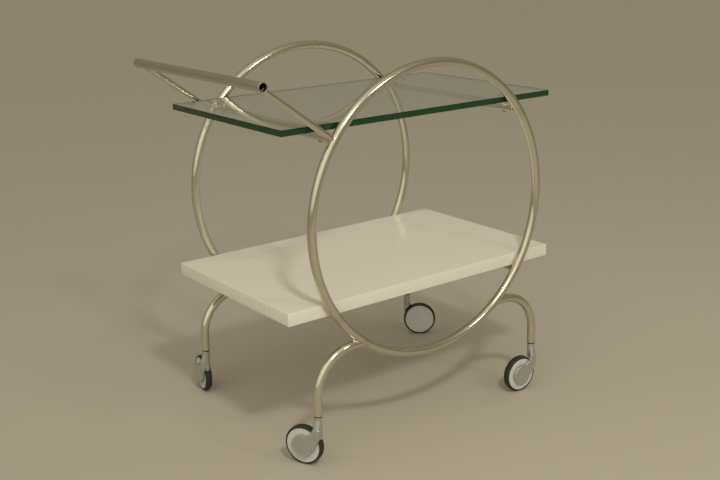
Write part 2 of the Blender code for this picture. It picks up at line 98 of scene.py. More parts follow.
# Shelves. A support is a ring of flat surface that keeps the shading flat beside an arris.
CORNER_STEPS = 6
LEAST_RADIUS = 0.0002
GLASS_CORNER = 0.0025
GLASS_CHAMFER = 0.0012
GLASS_SOFT_RUN = 0.18 * GLASS_CHAMFER
GLASS_SOFT_RISE = 0.2 * GLASS_SOFT_RUN
GLASS_SUPPORT = 0.0006
GLASS_EDGE_SLOPE = 0.3
BOARD_CORNER = 0.0020
BOARD_ARRIS = 0.0009
ARRIS_ROWS = 6
BOARD_SUPPORT = 0.0012
BAND_THICKNESS = 0.0012
BAND_SEAM = 0.00018

# Pads under the glass, and the boss below each that takes the screw.
PAD_THICKNESS = 0.003
BOSS_ROOT_RADIUS = 0.0075
BOSS_RADIUS = 0.005
BOSS_TIP_RADIUS = 0.0049
BOSS_KNEE = 0.009
BOSS_LENGTH = 0.014

# Button-head screws. The hexagon and the crown are shares of the head's radius or height, and the
# point's end is a share of the shank's radius.
SCREW_SIDES = 48
SCREW_HEAD = 0.003
SHANK_RADIUS = 0.0025
SHANK_POINT = 0.001
POINT_SHARE = 0.6
HEAD_EDGE = 0.0002
HEXAGON = 0.345
HEXAGON_FLOOR = 0.45
HEXAGON_CENTRE = 0.42
HEXAGON_MOUTH = 0.97
HEXAGON_FLARE = 1.12
HEXAGON_POINT = 0.2
CROWN_ROWS = 8
CROWN_FLAT = 0.52
CROWN_DROP = 0.72

# Casters, in their own frame: stem on the Z axis, wheel trailing to +X, fork on the +Y side. The fork
# is cut back to WHEEL_CLEARANCE round the wheel, by a cutter that ends at the arm's inner face.
ROUND_SIDES = 96
TYRE_SIDES = 128
SOCKET_SIDES = 64
PIN_SIDES = 48
WHEEL_RADIUS = 0.040
WHEEL_CLEARANCE = 0.003
CUTTER_DEPTH = 0.03

# The fork's neck, and the shoulder that spreads from it to an oval foot on the arm's outer face.
NECK_RADIUS = 0.008
NECK_SIDES = 64
NECK_FLOOR_Z = 0.058
SHOULDER_SIDES = 48
SHOULDER_RADIUS = 0.0078
SHOULDER_HEIGHTS = (0.099, 0.066)
SHOULDER_FOOT_Z = 0.071
SHOULDER_FOOT_HALF = (0.0074, 0.009)

# The fork's arm, seen along the axle: a round cover, drawn by an arc in degrees, a brow that sweeps up
# to the neck's front and a heel that sweeps down its back. ARM_GAP keeps it off the tyre. The rows of
# its edge hold the depth below its outer face, and the inset of the outline towards its middle, which
# lies at a share of the trail and a height above the axle.
COVER_RADIUS = 0.023
COVER_ARC = (212.5, 468.0)
COVER_STEPS = 60
ARM_GAP = 0.0007
ARM_DEPTH = 0.0058
ARM_ROOT = NECK_RADIUS - 0.0004
ARM_TOP_Z = 0.080
ARM_HEEL_Z = 0.066
ARM_HEEL_PULL_Z = 0.057
ARM_HEEL_STEPS = 14
ARM_BROW_PULL = (0.004, 0.003)
ARM_BROW_STEPS = 12
ARM_MIDDLE = (0.6, 0.008)
ARM_EDGE = ((0.0020, 0.0), (0.0010, 0.0004), (0.0, 0.0014), (0.0, 0.0020), (0.0006, 0.0030))
FORK_GRAIN = 0.00045
FORK_SMOOTHING = 9

# Wheels. The hub's face runs from its centre out: radius, depth below the rim, rounding.
HUB_RADIUS = 0.0365
HUB_HALF = 0.007
HUB_FACE = ((0, 0.0010, 0), (0.0016, 0.0010, 0.0003), (0.0020, 0.0006, 0.0003),
            (0.0320, 0.0003, 0.0004), (0.0326, 0.0009, 0.0003), (0.0332, 0, 0.0003),
            (HUB_RADIUS, 0, 0.0006))
TYRE_HALF = 0.0075
TYRE_BEAD = 0.001
TYRE_SHOULDER = 0.002
TREAD_SEAM = 0.0001
TREAD_SEAM_HALF = 0.0004
TYRE_CLOSING = 0.0001

# Sockets and pins. The axle's ends are measured from the wheel's middle.
SOCKET_BORE = 0.0045
SOCKET_SLEEVE = 0.0072
SOCKET_FLANGE = 0.002
STEM_RADIUS = 0.004
AXLE_RADIUS = 0.003
AXLE_ENDS = (-0.0047, 0.0117)


# ---------------------------------------------------------------- frame helpers

def middle(node):
    low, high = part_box(node)
    return np.array((low + high) / 2)


def span(node):
    low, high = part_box(node)
    return np.array(high - low)


def show(name, mesh, node, paint, matrix=None):
    """Stand a fine mesh in for a CAD node, on that node's body and in its material slot."""
    if matrix is not None:
        mesh = mesh.copy()
        mesh.transform(matrix)
    mesh.name = name
    piece = bpy.data.objects.new(name, mesh)
    bpy.context.scene.collection.objects.link(piece)
    mesh.materials.append(paint)
    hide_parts(node)
    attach(piece, BODY_OF[node])
    return piece


# ---------------------------------------------------------------- mesh helpers

def finished(name, shape, sharp=35):
    """A mesh from a bmesh, outward and smooth, with its real corners kept sharp."""
    bmesh.ops.remove_doubles(shape, verts=shape.verts, dist=1e-7)
    bmesh.ops.recalc_face_normals(shape, faces=shape.faces)
    mesh = bpy.data.meshes.new(name)
    shape.to_mesh(mesh)
    shape.free()
    mesh.shade_smooth()
    mesh.set_sharp_from_angle(angle=math.radians(sharp))
    return mesh


def skinned(name, rows, closed=False, sharp=35, drawn=None, haze=None):
    """Skin an (n, m, 3) array of rings, closed on itself or capped at both ends.

    drawn holds each point's place on the tube as if it lay straight along Z, for streaks in its
    gloss, and haze how close the point is to a weld; both become attributes for the materials.
    """
    count, sides = rows.shape[:2]
    index = np.arange(count * sides).reshape(count, sides)
    first = index if closed else index[:-1]
    second = np.roll(index, -1, axis=0) if closed else index[1:]
    quads = np.stack((first, np.roll(first, -1, axis=1), np.roll(second, -1, axis=1), second), axis=-1)
    faces = quads.reshape(-1, 4).tolist()
    if not closed:
        faces.append(index[0].tolist())
        faces.append(index[-1].tolist())
    mesh = bpy.data.meshes.new(name)
    mesh.from_pydata(rows.reshape(-1, 3).tolist(), [], faces)
    if drawn is not None:
        layer = mesh.attributes.new("drawn", "FLOAT_VECTOR", "POINT")
        layer.data.foreach_set("vector", drawn.astype(np.float32).ravel())
    if haze is not None:
        layer = mesh.attributes.new("haze", "FLOAT", "POINT")
        layer.data.foreach_set("value", haze.astype(np.float32).ravel())
    shape = bmesh.new()
    shape.from_mesh(mesh)
    bmesh.ops.recalc_face_normals(shape, faces=shape.faces)
    shape.to_mesh(mesh)
    shape.free()
    mesh.shade_smooth()
    mesh.set_sharp_from_angle(angle=math.radians(sharp))
    return mesh


def rounded(corners, steps=5):
    """A profile with its corners rounded off: corners holds (radius, height, rounding) rows."""
    points = []
    for i, (r, h, rounding) in enumerate(corners):
        here = np.array((r, h))
        if rounding == 0 or i in (0, len(corners) - 1):
            points.append((r, h))
            continue
        before = np.array(corners[i - 1][:2]) - here
        after = np.array(corners[i + 1][:2]) - here
        start = here + before / np.linalg.norm(before) * rounding
        stop = here + after / np.linalg.norm(after) * rounding
        for t in np.linspace(0, 1, steps + 1):
            points.append(tuple((1 - t) ** 2 * start + 2 * t * (1 - t) * here + t ** 2 * stop))
    return points


def turned(name, profile, sides=ROUND_SIDES, axis="Z", sharp=35):
    """Turn (radius, height) points about an axis; a profile that doesn't end there closes on itself."""
    shape = bmesh.new()
    angles = [2 * math.pi * i / sides for i in range(sides)]
    rows = []
    for radius, height in profile:
        if radius == 0:
            rows.append([shape.verts.new((0, 0, height))] * sides)
            continue
        ring = [(radius * math.cos(a), radius * math.sin(a), height) for a in angles]
        rows.append([shape.verts.new(point) for point in ring])
    spans = list(zip(rows, rows[1:]))
    if profile[0][0] > 0:
        spans.append((rows[-1], rows[0]))
    for first, second in spans:
        for i in range(sides):
            j = (i + 1) % sides
            corners = list(dict.fromkeys((first[i], first[j], second[j], second[i])))
            if len(corners) > 2:
                shape.faces.new(corners)
    if axis == "Y":
        bmesh.ops.transform(shape, matrix=Matrix.Rotation(-math.pi / 2, 4, "X"), verts=shape.verts)
    return finished(name, shape, sharp)


def plate(name, low, high, corner, profile):
    """A plate between two corners, round at its upright edges; profile is (inset, height) rows."""
    centre = (np.array(low) + np.array(high)) / 2
    half = (np.array(high) - np.array(low)) / 2
    turns = np.linspace(0, math.pi / 2, CORNER_STEPS + 1)
    rows = []
    for inset, height in profile:
        ring = []
        radius = max(corner - inset, LEAST_RADIUS)
        for quarter in range(4):
            x_sign = (1, -1, -1, 1)[quarter]
            y_sign = (1, 1, -1, -1)[quarter]
            for turn in turns + quarter * math.pi / 2:
                ring.append((
                    centre[0] + x_sign * (half[0] - inset - radius) + radius * math.cos(turn),
                    centre[1] + y_sign * (half[1] - inset - radius) + radius * math.sin(turn),
                    height,
                ))
        rows.append(ring)
    return skinned(name, np.array(rows), sharp=20)


# ---------------------------------------------------------------- tubes

class Path:
    """A tube's centre line: straight ahead, then bent away from its side by a quarter turn, and on."""

    def __init__(self, origin, ahead, side, bend_start=NO_BEND, bend_radius=1.0):
        self.origin = np.array(origin)
        self.ahead = np.array(ahead)
        self.side = np.array(side)
        self.across = np.cross(side, ahead) * (1 if np.cross(side, ahead).sum() > 0 else -1)
        self.bend_start = bend_start
        self.bend_radius = bend_radius
        self.bend_end = bend_start + bend_radius * math.pi / 2

    def surface(self, length, angles, radius):
        """Points at a distance from the centre line, at lengths along it and angles about it."""
        s = np.asarray(length, float)[..., None]
        turn = np.clip((s - self.bend_start) / self.bend_radius, 0, math.pi / 2)
        heading = np.cos(turn) * self.ahead - np.sin(turn) * self.side
        side = np.sin(turn) * self.ahead + np.cos(turn) * self.side
        centre = self.origin + np.minimum(s, self.bend_start) * self.ahead
        centre = centre + self.bend_radius * (np.sin(turn) * self.ahead - (1 - np.cos(turn)) * self.side)
        centre = centre + np.maximum(s - self.bend_end, 0) * heading
        a = np.asarray(angles)[..., None]
        return centre + radius * (np.cos(a) * side + np.sin(a) * self.across)


class Hoop:
    """A ring's centre line in an upright plane."""

    def __init__(self, side):
        self.tube = round(span(f"hoop_{side}")[1] / 2, 5)
        self.radius = round(span(f"hoop_{side}")[0] / 2 - self.tube, 5)
        self.centre = middle(f"hoop_{side}")

    def nearest(self, points):
        flat = (points - self.centre) * (1, 0, 1)
        return self.centre + self.radius * flat / np.linalg.norm(flat, axis=-1, keepdims=True)


class Bar:
    """A straight bar's centre line along Y."""

    def __init__(self, node):
        self.tube = round(span(node)[0] / 2, 5)
        self.length = span(node)[1]
        self.centre = middle(node)

    def nearest(self, points):
        return points * (0, 1, 0) + self.centre * (1, 0, 1)


ANGLES = 2 * math.pi * np.arange(TUBE_SIDES) / TUBE_SIDES


def weld(path, radius, host, reach):
    """Where a tube meets its host: the lengths at which the weld starts, and its rows of points.

    The weld's surface is that of a ball that rolls round the corner between both tubes. The rows
    run from the tube's surface to the host's, and then a little way into the host.
    """
    lengths = np.linspace(0, reach, WELD_TRIES)
    balls = path.surface(lengths[:, None], ANGLES[None, :], radius + WELD_RADIUS)
    gaps = np.linalg.norm(balls - host.nearest(balls), axis=-1) - host.tube - WELD_RADIUS
    inside = gaps <= 0
    last = len(lengths) - 1 - np.argmax(inside[::-1], axis=0)
    last = np.where(inside.any(axis=0), last, np.argmin(gaps, axis=0))
    after = np.minimum(last + 1, len(lengths) - 1)
    pick = np.arange(TUBE_SIDES)
    drop = gaps[after, pick] - gaps[last, pick]
    share = np.clip(-gaps[last, pick] / np.where(drop > 0, drop, 1), 0, 1)
    start = lengths[last] + share * (lengths[1] - lengths[0])
    ball = path.surface(start, ANGLES, radius + WELD_RADIUS)
    on_tube = path.surface(start, ANGLES, radius) - ball
    spine = host.nearest(ball)
    outward = (ball - spine) / np.linalg.norm(ball - spine, axis=-1, keepdims=True)
    on_host = spine + host.tube * outward - ball
    rows = []
    for t in np.linspace(0, 1, WELD_STEPS + 1):
        mix = (1 - t) * on_tube + t * on_host
        rows.append(ball + WELD_RADIUS * mix / np.linalg.norm(mix, axis=-1, keepdims=True))
    rows.append(spine + (host.tube - WELD_SINK) * outward)
    return start, rows


def tube_rows(path, radius, start, stop, steps):
    """Rows of points from one set of lengths to another, and those lengths."""
    lengths = [start + (stop - start) * t for t in np.linspace(0, 1, steps + 1)]
    return [path.surface(s, ANGLES, radius) for s in lengths], lengths


def drawn_out(lengths, radius):
    """Each point's place on a tube as if it lay straight along Z."""
    lengths = np.array(lengths)
    around = np.stack((radius * np.cos(ANGLES), radius * np.sin(ANGLES)), axis=-1)
    around = np.broadcast_to(around, (*lengths.shape, 2))
    return np.concatenate((around, lengths[..., None]), axis=-1)


def near_weld(lengths, start):
    """1 on a weld, falling off along the tube beyond it."""
    beyond = np.maximum(np.array(lengths) - start, 0)
    return np.exp(-(beyond / WELD_HAZE) ** 2)


def welded_tube(name, origin, far, side, radius, hosts):
    """A straight tube from one host's centre line to another's, welded to both."""
    origin, far = np.array(origin), np.array(far)
    whole = np.linalg.norm(far - origin)
    ahead = (far - origin) / whole
    near_end = Path(origin, ahead, side)
    far_end = Path(far, -ahead, side)
    reach = 3 * hosts[0].tube
    first, first_rows = weld(near_end, radius, hosts[0], reach)
    last, last_rows = weld(far_end, radius, hosts[1], reach)
    rows, lengths = tube_rows(near_end, radius, first, whole - last, STRAIGHT_STEPS)
    all_rows = first_rows[::-1] + rows[1:-1] + last_rows
    all_lengths = [first] * len(first_rows) + lengths[1:-1] + [whole - last] * len(last_rows)
    haze = np.maximum(near_weld(all_lengths, first), near_weld(whole - np.array(all_lengths), last))
    return skinned(name, np.array(all_rows), drawn=drawn_out(all_lengths, radius), haze=haze)


def leg_tube(name, hoop, foot, end, level):
    """A leg: welded to the hoop, straight out, bent down by a quarter turn, and open at the foot."""
    drop = hoop.centre[2] - level
    start_x = math.sqrt(hoop.radius ** 2 - drop ** 2)
    leg_x = abs(foot[0] - hoop.centre[0])
    origin = (hoop.centre[0] + end * start_x, hoop.centre[1], level)
    path = Path(origin, end * X, Z, leg_x - LEG_BEND_RADIUS - start_x, LEG_BEND_RADIUS)
    whole = path.bend_end + level - LEG_BEND_RADIUS - foot[2]
    begin, weld_rows = weld(path, hoop.tube, hoop, path.bend_end)
    rim_start = np.full(TUBE_SIDES, whole - FOOT_WALL)
    rows, lengths = tube_rows(path, hoop.tube, begin, rim_start, LEG_STEPS)
    all_rows = weld_rows[::-1] + rows[1:]
    all_lengths = [begin] * len(weld_rows) + lengths[1:]
    inner = hoop.tube - FOOT_WALL
    edge = rounded([(hoop.tube, -FOOT_WALL, 0), (hoop.tube, 0, FOOT_WALL / 2), (inner, 0, FOOT_WALL / 2),
                    (inner, -4 * FOOT_WALL, 0)])
    for radius, beyond in edge[1:]:
        all_lengths.append(np.full(TUBE_SIDES, whole + beyond))
        all_rows.append(path.surface(all_lengths[-1], ANGLES, radius))
    return skinned(name, np.array(all_rows), drawn=drawn_out(all_lengths, hoop.tube),
                   haze=near_weld(all_lengths, begin))


def hoop_tube(name, hoop, joints):
    """A ring of round tube, hazed a little round the places where others are welded to it."""
    turns = -math.pi / 2 + 2 * math.pi * np.arange(HOOP_STEPS) / HOOP_STEPS
    outward = np.cos(turns)[:, None] * X + np.sin(turns)[:, None] * Z
    spread = np.cos(ANGLES)[None, :, None] * outward[:, None, :] + np.sin(ANGLES)[None, :, None] * Y
    rows = hoop.centre + hoop.radius * outward[:, None, :] + hoop.tube * spread
    haze = np.zeros(rows.shape[:2])
    for place, radius in joints:
        away = np.linalg.norm(rows - place, axis=-1) - radius - WELD_RADIUS
        haze = np.maximum(haze, np.exp(-(np.maximum(away, 0) / WELD_HAZE) ** 2))
    lengths = hoop.radius * np.broadcast_to(turns[:, None], rows.shape[:2])
    return skinned(name, rows, closed=True, drawn=drawn_out(lengths, hoop.tube), haze=haze)


def bar_tube(name, bar):
    """The push bar: a tube that is open at both ends, with its rims rounded over."""
    inner = bar.tube - BAR_WALL
    half = bar.length / 2
    profile = rounded([(bar.tube, 0, 0), (bar.tube, half, BAR_RIM), (inner, half, BAR_RIM),
                       (inner, -half, BAR_RIM), (bar.tube, -half, BAR_RIM), (bar.tube, -BAR_CLOSING, 0)])
    return turned(name, profile, TUBE_SIDES * 2, "Y")


def build_rail(node, hoops, joints, nickel):
    """A cross rail from hoop to hoop."""
    ends = []
    for side, hoop in hoops.items():
        place = middle(node)
        place[1] = hoop.centre[1]
        ends.append(place)
        joints[side].append((place, RAIL_RADIUS))
    mesh = welded_tube(node + "_tube", *ends, X, RAIL_RADIUS, list(hoops.values()))
    show(node + "_tube", mesh, node, nickel)


def build_arm(side, hoop, bar, nickel):
    """A handle arm, from the hoop straight out to the bar; returns its joint with the hoop."""
    away = (bar.centre - hoop.centre) * (1, 0, 1)
    outward = away / np.linalg.norm(away)
    root = hoop.centre + hoop.radius * outward
    tip = hoop.centre + away
    mesh = welded_tube(f"handle_arm_{side}_tube", root, tip, np.cross(outward, Y), RAIL_RADIUS,
                       [hoop, bar])
    show(f"handle_arm_{side}_tube", mesh, f"handle_arm_{side}", nickel)
    return root + hoop.tube * outward, RAIL_RADIUS


def build_leg(corner, hoop, end, nickel):
    """A leg, from the hoop out and down to its caster; returns its joint with the hoop."""
    node = f"leg_{corner}"
    low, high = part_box(node)
    level = high.z - hoop.tube * CAD_FLAT
    foot = middle(f"caster_socket_{corner}")
    foot[2] = low.z
    drop = hoop.centre[2] - level
    root_x = end * math.sqrt(hoop.radius ** 2 - drop ** 2)
    show(node + "_tube", leg_tube(node + "_tube", hoop, foot, end, level), node, nickel)
    return hoop.centre + (root_x, 0, -drop), hoop.tube


def build_tubes(nickel, satin):
    hoops = {side: Hoop(side) for side in SIDES}
    bar = Bar("handle_bar")
    joints = {side: [] for side in SIDES}
    for level in ("upper", "lower"):
        for end in ENDS:
            build_rail(f"{level}_rail_{end}", hoops, joints, nickel)
    for side, hoop in hoops.items():
        joints[side].append(build_arm(side, hoop, bar, nickel))
        for name, end in ENDS.items():
            joints[side].append(build_leg(f"{name}_{side}", hoop, end, nickel))
        mesh = hoop_tube(f"hoop_{side}_tube", hoop, joints[side])
        show(f"hoop_{side}_tube", mesh, f"hoop_{side}", nickel)
    show("handle_bar_tube", bar_tube("handle_bar_tube", bar), "handle_bar", satin,
         Matrix.Translation(bar.centre))


# ---------------------------------------------------------------- shelves

def button_screw(name, radius, height, length):
    """A button-head screw about Z, head below the origin, with a hexagon socket in its crown."""
    turns = 2 * math.pi * np.arange(SCREW_SIDES) / SCREW_SIDES
    sector = math.pi / 3
    hexagon = HEXAGON * radius / np.cos(np.mod(turns, sector) - sector / 2)
    ring = np.stack((np.cos(turns), np.sin(turns)), axis=-1)
    rows = []

    def add(size, z):
        size = np.broadcast_to(size, turns.shape)
        rows.append(np.concatenate((ring * size[:, None], np.full((SCREW_SIDES, 1), z)), axis=-1))

    add(hexagon * HEXAGON_POINT, -height * HEXAGON_CENTRE)
    add(hexagon, -height * HEXAGON_FLOOR)
    add(hexagon, -height * HEXAGON_MOUTH)
    add(hexagon * HEXAGON_FLARE, -height)
    for share in np.linspace(CROWN_FLAT, 1, CROWN_ROWS):
        outward = (share - CROWN_FLAT) / (1 - CROWN_FLAT)
        add(radius * share, -height * (1 - outward ** 2 * CROWN_DROP))
    add(radius, -HEAD_EDGE)
    add(radius - HEAD_EDGE, 0)
    add(SHANK_RADIUS, 0)
    add(SHANK_RADIUS, length - SHANK_POINT)
    add(SHANK_RADIUS * POINT_SHARE, length)
    return skinned(name, np.array(rows), sharp=40)


def build_screw(node, zinc):
    low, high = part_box(node)
    place = middle(node)
    place[2] = low.z + SCREW_HEAD
    mesh = button_screw(node + "_bolt", span(node)[0] / 2, SCREW_HEAD, high.z - low.z - SCREW_HEAD)
    show(node + "_bolt", mesh, node, zinc, Matrix.Translation(place))


def build_pad(corner, chrome):
    """A disc bonded under the glass, with a boss below it."""
    node = f"glass_pad_{corner}"
    place = middle(node)
    place[2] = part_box(node)[1].z
    radius = span(node)[0] / 2
    profile = rounded([(0, 0, 0), (radius, 0, 0.0005), (radius, -PAD_THICKNESS, 0.001),
                       (BOSS_ROOT_RADIUS, -PAD_THICKNESS, 0.0025), (BOSS_RADIUS, -BOSS_KNEE, 0),
                       (BOSS_TIP_RADIUS, -BOSS_LENGTH, 0), (0, -BOSS_LENGTH, 0)])
    show(node + "_disc", turned(node + "_disc", profile), node, chrome, Matrix.Translation(place))


def build_glass(glass, edge, chrome, zinc):
    """The glass plate: clear on its faces, green on its edge, and sitting on four screwed pads."""
    low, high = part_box("glass_shelf")
    c, run, rise = GLASS_CHAMFER, GLASS_SOFT_RUN, GLASS_SOFT_RISE
    side = [(c + GLASS_SUPPORT, low.z), (c, low.z), (c - run, low.z + rise),
            (rise, low.z + c - run), (0, low.z + c), (0, low.z + c + GLASS_SUPPORT)]
    profile = side + [(inset, low.z + high.z - z) for inset, z in reversed(side)]
    pane = show("glass_shelf_plate", plate("glass_shelf_plate", low, high, GLASS_CORNER, profile),
                "glass_shelf", glass)
    pane.data.materials.append(edge)
    for face in pane.data.polygons:
        if abs(face.normal.z) < GLASS_EDGE_SLOPE:
            face.material_index = 1
    pane.visible_shadow = False
    pane.visible_diffuse = False
    for corner in CORNERS:
        build_pad(corner, chrome)
        build_screw(f"pad_screw_{corner}", zinc)


def build_board(laminate, zinc):
    """The board: a thin band round its edge, with a fine seam and a rounded arris."""
    low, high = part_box("lower_shelf")
    a = BOARD_ARRIS
    turns = np.linspace(0, math.pi / 2, ARRIS_ROWS)
    edge = [(a * (1 - math.sin(t)), a * (1 - math.cos(t))) for t in turns]
    seam = [(BAND_THICKNESS + BOARD_SUPPORT, 0.0), (BAND_THICKNESS + BAND_SEAM, 0.0),
            (BAND_THICKNESS + BAND_SEAM / 2, BAND_SEAM), (BAND_THICKNESS, 0.0)]
    half = [(inset, low.z + z) for inset, z in seam + edge]
    profile = half + [(inset, low.z + high.z - z) for inset, z in reversed(half)]
    show("lower_shelf_panel", plate("lower_shelf_panel", low, high, BOARD_CORNER, profile),
         "lower_shelf", laminate)
    for corner in CORNERS:
        build_screw(f"shelf_screw_{corner}", zinc)


# ---------------------------------------------------------------- casters

def bent(start, pull, stop, steps):
    """Points of a quadratic curve, without its start."""
    start, pull, stop = np.array(start), np.array(pull), np.array(stop)
    return [tuple((1 - t) ** 2 * start + 2 * t * (1 - t) * pull + t ** 2 * stop)
            for t in np.linspace(0, 1, steps + 1)[1:]]


def arm_outline(trail, axle_z):
    """The fork's arm seen along the axle: a round cover swept up to the neck."""
    turns = np.radians(np.linspace(*COVER_ARC, COVER_STEPS))
    points = [(trail + COVER_RADIUS * math.cos(t), axle_z + COVER_RADIUS * math.sin(t)) for t in turns]
    pull_x, pull_z = ARM_BROW_PULL
    brow = (ARM_ROOT + pull_x, axle_z + COVER_RADIUS + pull_z)
    points += bent(points[-1], brow, (ARM_ROOT, ARM_TOP_Z), ARM_BROW_STEPS)
    points += [(-ARM_ROOT, ARM_TOP_Z), (-ARM_ROOT, ARM_HEEL_Z)]
    points += bent(points[-1], (-ARM_ROOT, ARM_HEEL_PULL_Z), points[0], ARM_HEEL_STEPS)[:-1]
    return points


def neck_mesh(neck_top):
    """The upright barrel round the stem."""
    return turned("neck", rounded([(0, NECK_FLOOR_Z, 0), (NECK_RADIUS, NECK_FLOOR_Z, 0.001),
                                   (NECK_RADIUS, neck_top, 0.0012), (0, neck_top, 0)]), NECK_SIDES)


def arm_mesh(trail, axle_z, arm_inner, arm_outer):
    """The arm as a plate of that outline, flat towards the wheel and eased at its outer edge."""
    outline = np.array([(x, 0, z) for x, z in arm_outline(trail, axle_z)])
    share, rise = ARM_MIDDLE
    inward = np.array((trail * share, 0, axle_z + rise)) - outline
    inward /= np.linalg.norm(inward, axis=-1, keepdims=True)
    edge = [(arm_inner, 0.0)] + [(arm_outer - depth, inset) for depth, inset in ARM_EDGE]
    return skinned("arm", np.array([outline + inset * inward + y * Y for y, inset in edge]))


def shoulder_mesh(arm_outer):
    """The hull of two rings round the neck and the oval foot on the arm."""
    shape = bmesh.new()
    half_width, half_height = SHOULDER_FOOT_HALF
    for t in 2 * math.pi * np.arange(SHOULDER_SIDES) / SHOULDER_SIDES:
        for z in SHOULDER_HEIGHTS:
            shape.verts.new((SHOULDER_RADIUS * math.cos(t), SHOULDER_RADIUS * math.sin(t), z))
        foot_z = SHOULDER_FOOT_Z + half_height * math.sin(t)
        shape.verts.new((half_width * math.cos(t), arm_outer, foot_z))
    hull = bmesh.ops.convex_hull(shape, input=shape.verts)
    loose = [item for item in hull["geom_interior"] if isinstance(item, bmesh.types.BMVert)]
    bmesh.ops.delete(shape, geom=loose, context="VERTS")
    return finished("shoulder", shape)


def cutter_mesh(arm_inner):
    """The room that the wheel needs beside the arm."""
    radius = WHEEL_RADIUS + WHEEL_CLEARANCE
    return turned("cutter", [(0, -CUTTER_DEPTH), (radius, -CUTTER_DEPTH), (radius, arm_inner),
                             (0, arm_inner)], TYRE_SIDES, "Y")


def fork_mesh(trail, axle_z, arm_inner, neck_top):
    """Neck, arm and shoulder as one casting: joined, cut back from the wheel, then softened."""
    arm_outer = arm_inner + ARM_DEPTH
    parts = [neck_mesh(neck_top), arm_mesh(trail, axle_z, arm_inner, arm_outer),
             shoulder_mesh(arm_outer), cutter_mesh(arm_inner)]
    body, *others = [bpy.data.objects.new(part.name, part) for part in parts]
    scene = bpy.context.scene.collection.objects
    scene.link(body)
    for other in others:
        scene.link(other)
        step = body.modifiers.new(other.name, "BOOLEAN")
        step.object = other
        step.operation = "DIFFERENCE" if other.name == "cutter" else "UNION"
    others[-1].location = (trail, 0, axle_z)
    remesh = body.modifiers.new("remesh", "REMESH")
    remesh.mode = "VOXEL"
    remesh.voxel_size = FORK_GRAIN
    smooth = body.modifiers.new("smooth", "SMOOTH")
    smooth.iterations = FORK_SMOOTHING
    mesh = evaluated(body, "fork_casting")
    for item in (body, *others):
        bpy.data.objects.remove(item)
    return mesh


def evaluated(body, name):
    """The mesh that an object's modifiers make, as a mesh of its own."""
    bpy.context.view_layer.update()
    graph = bpy.context.evaluated_depsgraph_get()
    mesh = bpy.data.meshes.new_from_object(body.evaluated_get(graph), depsgraph=graph)
    mesh.name = name
    mesh.shade_smooth()
    return mesh


def hub_mesh():
    """The wheel's disc: a lip at the rim, a shallow dish and a small gate mark at its centre."""
    face = [(radius, HUB_HALF - depth, rounding) for radius, depth, rounding in HUB_FACE]
    profile = [(radius, -height, rounding) for radius, height, rounding in face] + face[::-1]
    return turned("wheel_hub_disc", rounded(profile), ROUND_SIDES, "Y", 40)


def tyre_mesh():
    """The tyre: flat sides, soft shoulders, and a thin mould seam round the tread."""
    inner = HUB_RADIUS - TYRE_BEAD
    tread = WHEEL_RADIUS - TREAD_SEAM
    side = [(inner, TYRE_HALF, 0.0004), (WHEEL_RADIUS - TYRE_SHOULDER, TYRE_HALF, 0.001),
            (tread, TYRE_HALF - TYRE_SHOULDER, 0.0012), (tread, TREAD_SEAM_HALF, 0.0001)]
    other_side = [(radius, -height, rounding) for radius, height, rounding in side]
    profile = [(inner, 0, 0), *other_side, (WHEEL_RADIUS, 0, 0.0001), *side[::-1],
               (inner, TYRE_CLOSING, 0)]
    return turned("tyre_ring", rounded(profile), TYRE_SIDES, "Y", 50)


def pin_mesh(name, radius, start, stop, rounding, axis="Z"):
    """A round pin with eased ends."""
    profile = rounded([(0, start, 0), (radius, start, rounding), (radius, stop, rounding), (0, stop, 0)])
    return turned(name, profile, PIN_SIDES, axis)


def socket_mesh(node):
    """A socket: its flange, which is the black ring under the leg, and its sleeve inside the leg."""
    low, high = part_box(node)
    outer = span(node)[0] / 2
    top = low.z + SOCKET_FLANGE
    profile = rounded([(SOCKET_BORE, low.z, 0.0002), (outer, low.z, 0.0004), (outer, top, 0.0004),
                       (SOCKET_SLEEVE, top, 0), (SOCKET_SLEEVE, high.z, 0.0003),
                       (SOCKET_BORE, high.z, 0)])
    return turned(node + "_ring", profile, SOCKET_SIDES)


def build_casters(paints):
    hub = hub_mesh()
    tyre = tyre_mesh()
    fork = None
    up = Vector(Z)
    for corner in CORNERS:
        roll = JOINTS[f"roll_{corner}"]
        stem = Vector((*JOINTS[f"swivel_{corner}"]["pos_m"][:2], 0))
        axle = Vector(roll["pos_m"])
        across = Vector(roll["axis"])
        turn = Matrix((across.cross(up), across, up)).transposed().to_4x4()
        upright = Matrix.Translation(stem)
        caster = upright @ turn
        wheel = Matrix.Translation(axle) @ turn
        if fork is None:
            local = caster.inverted() @ axle
            neck_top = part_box(f"caster_fork_{corner}")[1].z
            fork = fork_mesh(local.x, local.z, local.y + TYRE_HALF + ARM_GAP, neck_top)
        show(f"caster_fork_{corner}_casting", fork, f"caster_fork_{corner}", paints["fork"], caster)
        show(f"wheel_hub_{corner}_disc", hub, f"wheel_hub_{corner}", paints["hub"], wheel)
        show(f"tyre_{corner}_ring", tyre, f"tyre_{corner}", paints["tyre"], wheel)
        show(f"caster_socket_{corner}_ring", socket_mesh(f"caster_socket_{corner}"),
             f"caster_socket_{corner}", paints["socket"], upright)
        low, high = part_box(f"caster_stem_{corner}")
        pin = pin_mesh(f"caster_stem_{corner}_pin", STEM_RADIUS, low.z, high.z, 0.0008)
        show(f"caster_stem_{corner}_pin", pin, f"caster_stem_{corner}", paints["pin"], upright)
        pin = pin_mesh(f"wheel_axle_{corner}_pin", AXLE_RADIUS, *AXLE_ENDS, 0.0004, "Y")
        show(f"wheel_axle_{corner}_pin", pin, f"wheel_axle_{corner}", paints["pin"], wheel)


# ---------------------------------------------------------------- materials

